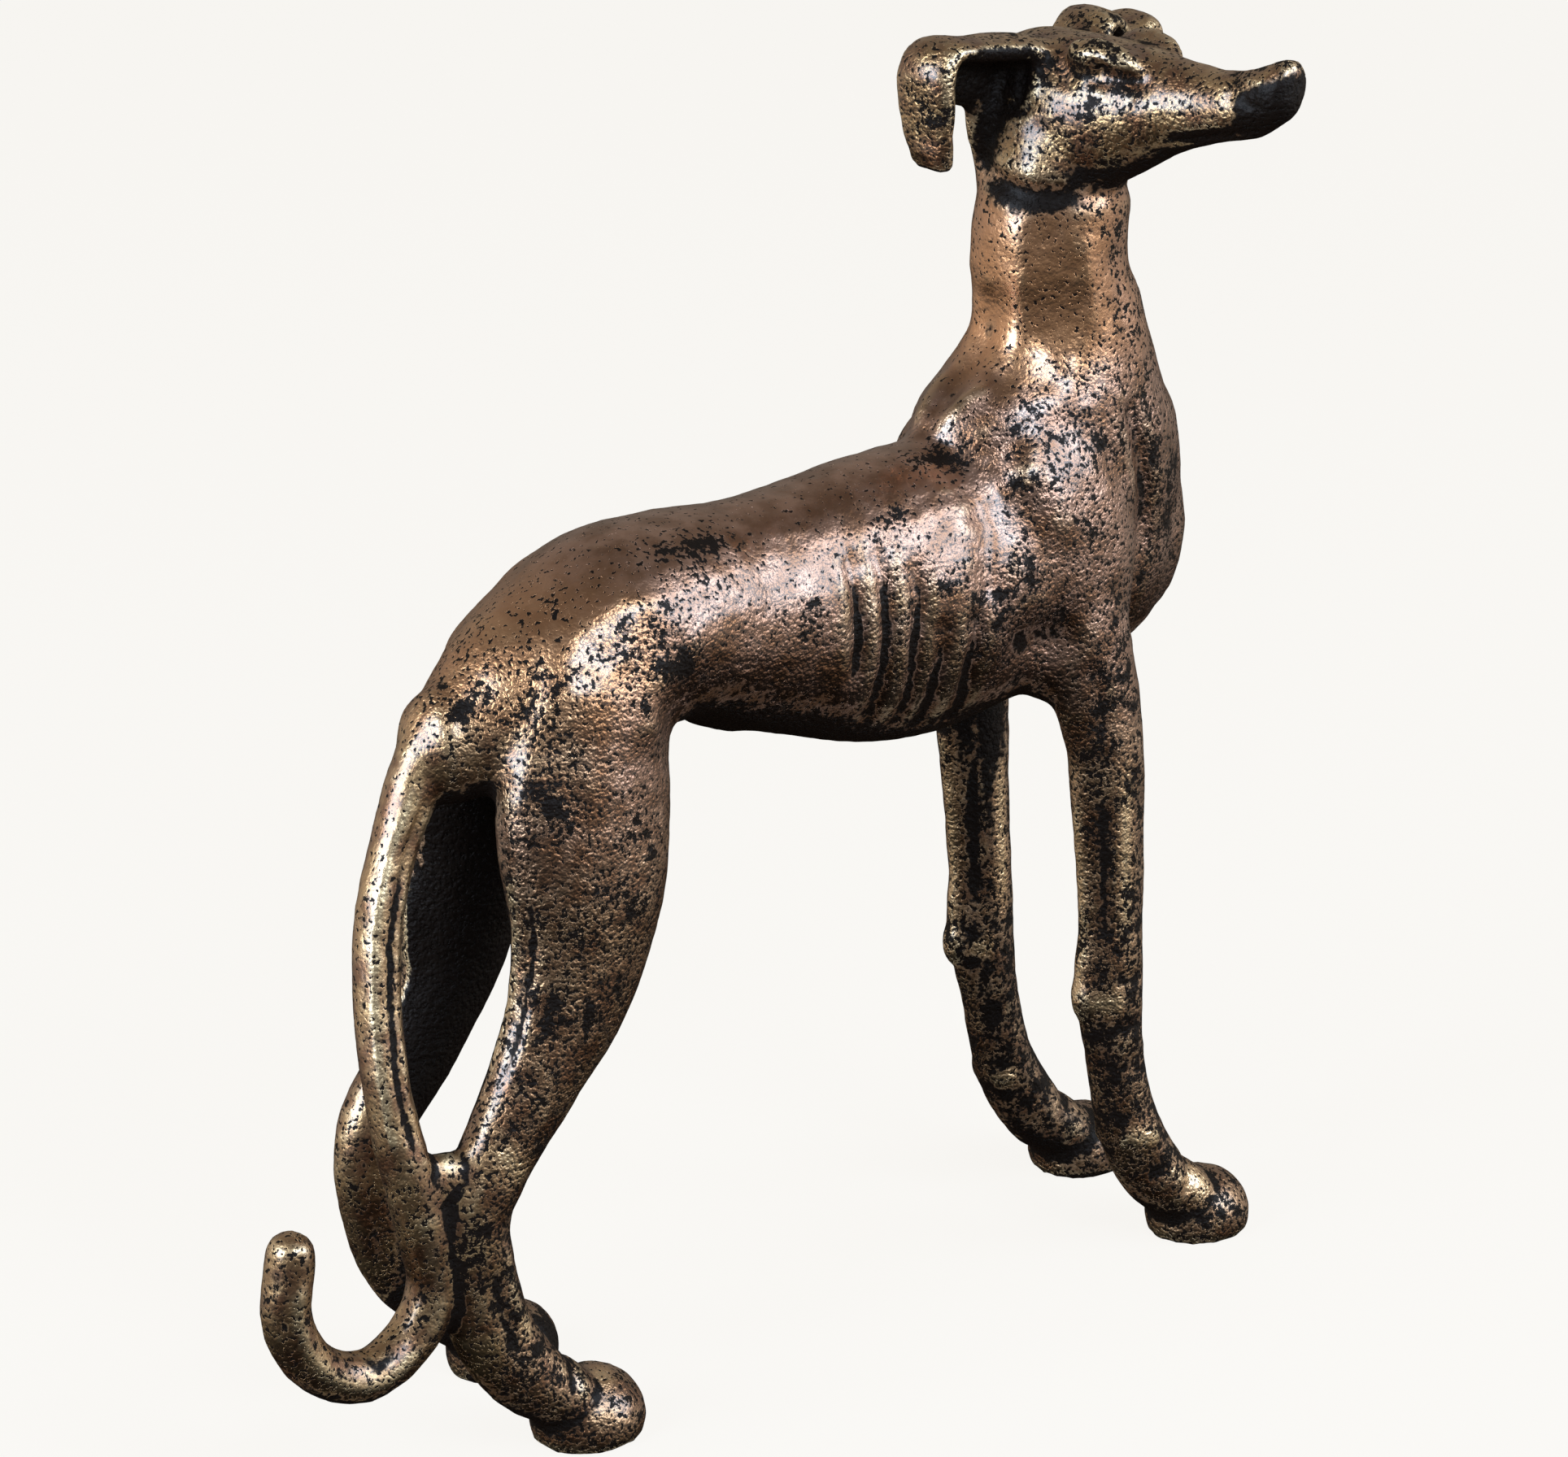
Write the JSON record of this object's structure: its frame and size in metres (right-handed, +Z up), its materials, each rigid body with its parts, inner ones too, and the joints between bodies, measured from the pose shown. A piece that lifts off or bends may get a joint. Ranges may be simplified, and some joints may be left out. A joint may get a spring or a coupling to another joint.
{
  "type": "greyhound sculpture",
  "caption": "Standing greyhound sculpture in antiqued cast bronze, head turned over its shoulder, tail joined to a hind leg and curled back in a hook.",
  "frame": {"origin": "on the standing plane, below the middle of the whole figure's bounding box", "axes": "+X the way the body faces, +Y the dog's left, +Z up; the head looks towards -Y"},
  "size_m": [0.4352, 0.152, 0.4642],
  "materials": {
    "bronze": "antiqued cast bronze: warm brown with rubbed golden high points, black patina in the pits and hollows, semi-gloss"
  },
  "bodies": {
    "root": {"greyhound": "bronze"}
  },
  "joints": []
}
